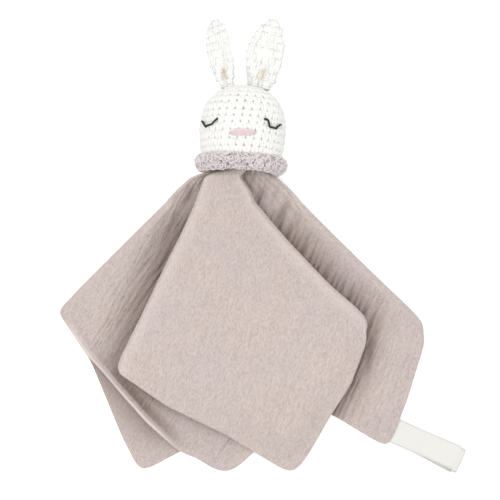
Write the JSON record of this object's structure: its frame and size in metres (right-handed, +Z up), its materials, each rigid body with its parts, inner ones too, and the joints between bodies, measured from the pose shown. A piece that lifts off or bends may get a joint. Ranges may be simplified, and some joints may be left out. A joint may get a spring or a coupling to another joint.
{
  "type": "comfort blanket lovey",
  "caption": "Comfort blanket: a square of double gauze gathered under a stuffed crocheted rabbit head with ribbed collar, two ears and a tape loop at one corner.",
  "frame": {"origin": "where the lowest layer of the cloth rests, straight below the neck as the object lies on its back", "axes": "+Z up from the surface the object lies on, +Y from the cloth towards the crown of the head, +X to the right of someone looking down at its face"},
  "size_m": [0.2777, 0.305, 0.061],
  "materials": {
    "muslin_face": "crinkled double gauze",
    "muslin_lining": "crinkled double gauze",
    "cream_crochet": "crocheted cotton yarn",
    "collar_wool": "fluffy ribbed yarn",
    "filling": "loose fibre",
    "eye_thread": "embroidery thread",
    "nose_thread": "satin stitch",
    "sewing_thread": "sewing thread",
    "cotton_tape": "twill tape"
  },
  "bodies": {
    "blanket": {"muslin_face": "muslin_face", "muslin_lining": "muslin_lining", "tag_seam": "sewing_thread"},
    "tag": {"tag_loop": "cotton_tape"},
    "gather": {"neck_gather": "muslin_face"},
    "tie": {"neck_tie": "sewing_thread"},
    "head": {"collar": "collar_wool", "collar_seam": "sewing_thread", "head_cover": "cream_crochet", "head_filling": "filling", "left_eye": "eye_thread", "right_eye": "eye_thread", "nose": "nose_thread", "left_ear_seam": "sewing_thread", "right_ear_seam": "sewing_thread"},
    "ear_left": {"left_ear": "cream_crochet"},
    "ear_right": {"right_ear": "cream_crochet"}
  },
  "joints": [
    {"name": "neck_nod", "type": "hinge", "parent": "blanket", "child": "gather", "pos_m": [0, 0.135, 0.031], "axis": [0.9988, -0.048, 0], "range_deg": [-20, 60], "deforming": ["neck_gather"]},
    {"name": "neck_tilt", "type": "hinge", "parent": "gather", "child": "tie", "pos_m": [0, 0.135, 0.031], "axis": [0.0029, 0.061, 0.9981], "range_deg": [-15, 15]},
    {"name": "neck_turn", "type": "hinge", "parent": "tie", "child": "head", "pos_m": [0, 0.135, 0.031], "axis": [0.0479, 0.997, -0.061], "range_deg": [-40, 40]},
    {"name": "left_ear_flop", "type": "hinge", "parent": "head", "child": "ear_left", "pos_m": [-0.0094, 0.19359, 0.02745], "axis": [0.9824, 0.1861, -0.0143], "range_deg": [-35, 70]},
    {"name": "right_ear_flop", "type": "hinge", "parent": "head", "child": "ear_right", "pos_m": [0.01281, 0.19318, 0.02741], "axis": [0.9639, -0.266, 0.0134], "range_deg": [-35, 70]},
    {"name": "tag_flap", "type": "hinge", "parent": "blanket", "child": "tag", "pos_m": [0.10562, -0.03581, 0.0008], "axis": [-0.3915, -0.9202, 0], "range_deg": [-80, 90]}
  ]
}
